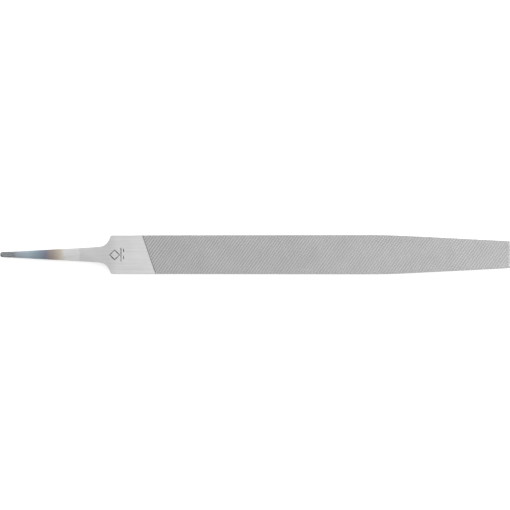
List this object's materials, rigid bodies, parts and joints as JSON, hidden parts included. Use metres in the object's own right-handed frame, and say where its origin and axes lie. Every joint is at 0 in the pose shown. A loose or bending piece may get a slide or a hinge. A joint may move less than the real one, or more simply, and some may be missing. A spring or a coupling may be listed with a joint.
{
  "type": "flat file",
  "caption": "Flat metalworking file with a bare tapered tang: double-cut faces, one single-cut edge and one smooth safe edge, tapering in width and thickness to its point.",
  "frame": {"origin": "below the middle of the file's length, on the plane of its lower face", "axes": "+X from the tang's end to the point, +Y across the width towards the single-cut edge, +Z through the thickness, up from the lower face"},
  "size_m": [0.26, 0.02, 0.005],
  "materials": {
    "tang_steel": "satin ground, with straw, brown and blue heat colours fading to grey scale at the tip",
    "ground_steel": "bright, ground lengthways",
    "cut_steel": "matt grey, chisel-cut teeth"
  },
  "bodies": {
    "root": {"tang": "tang_steel", "heel": "ground_steel", "cut_body": "cut_steel"}
  },
  "joints": []
}
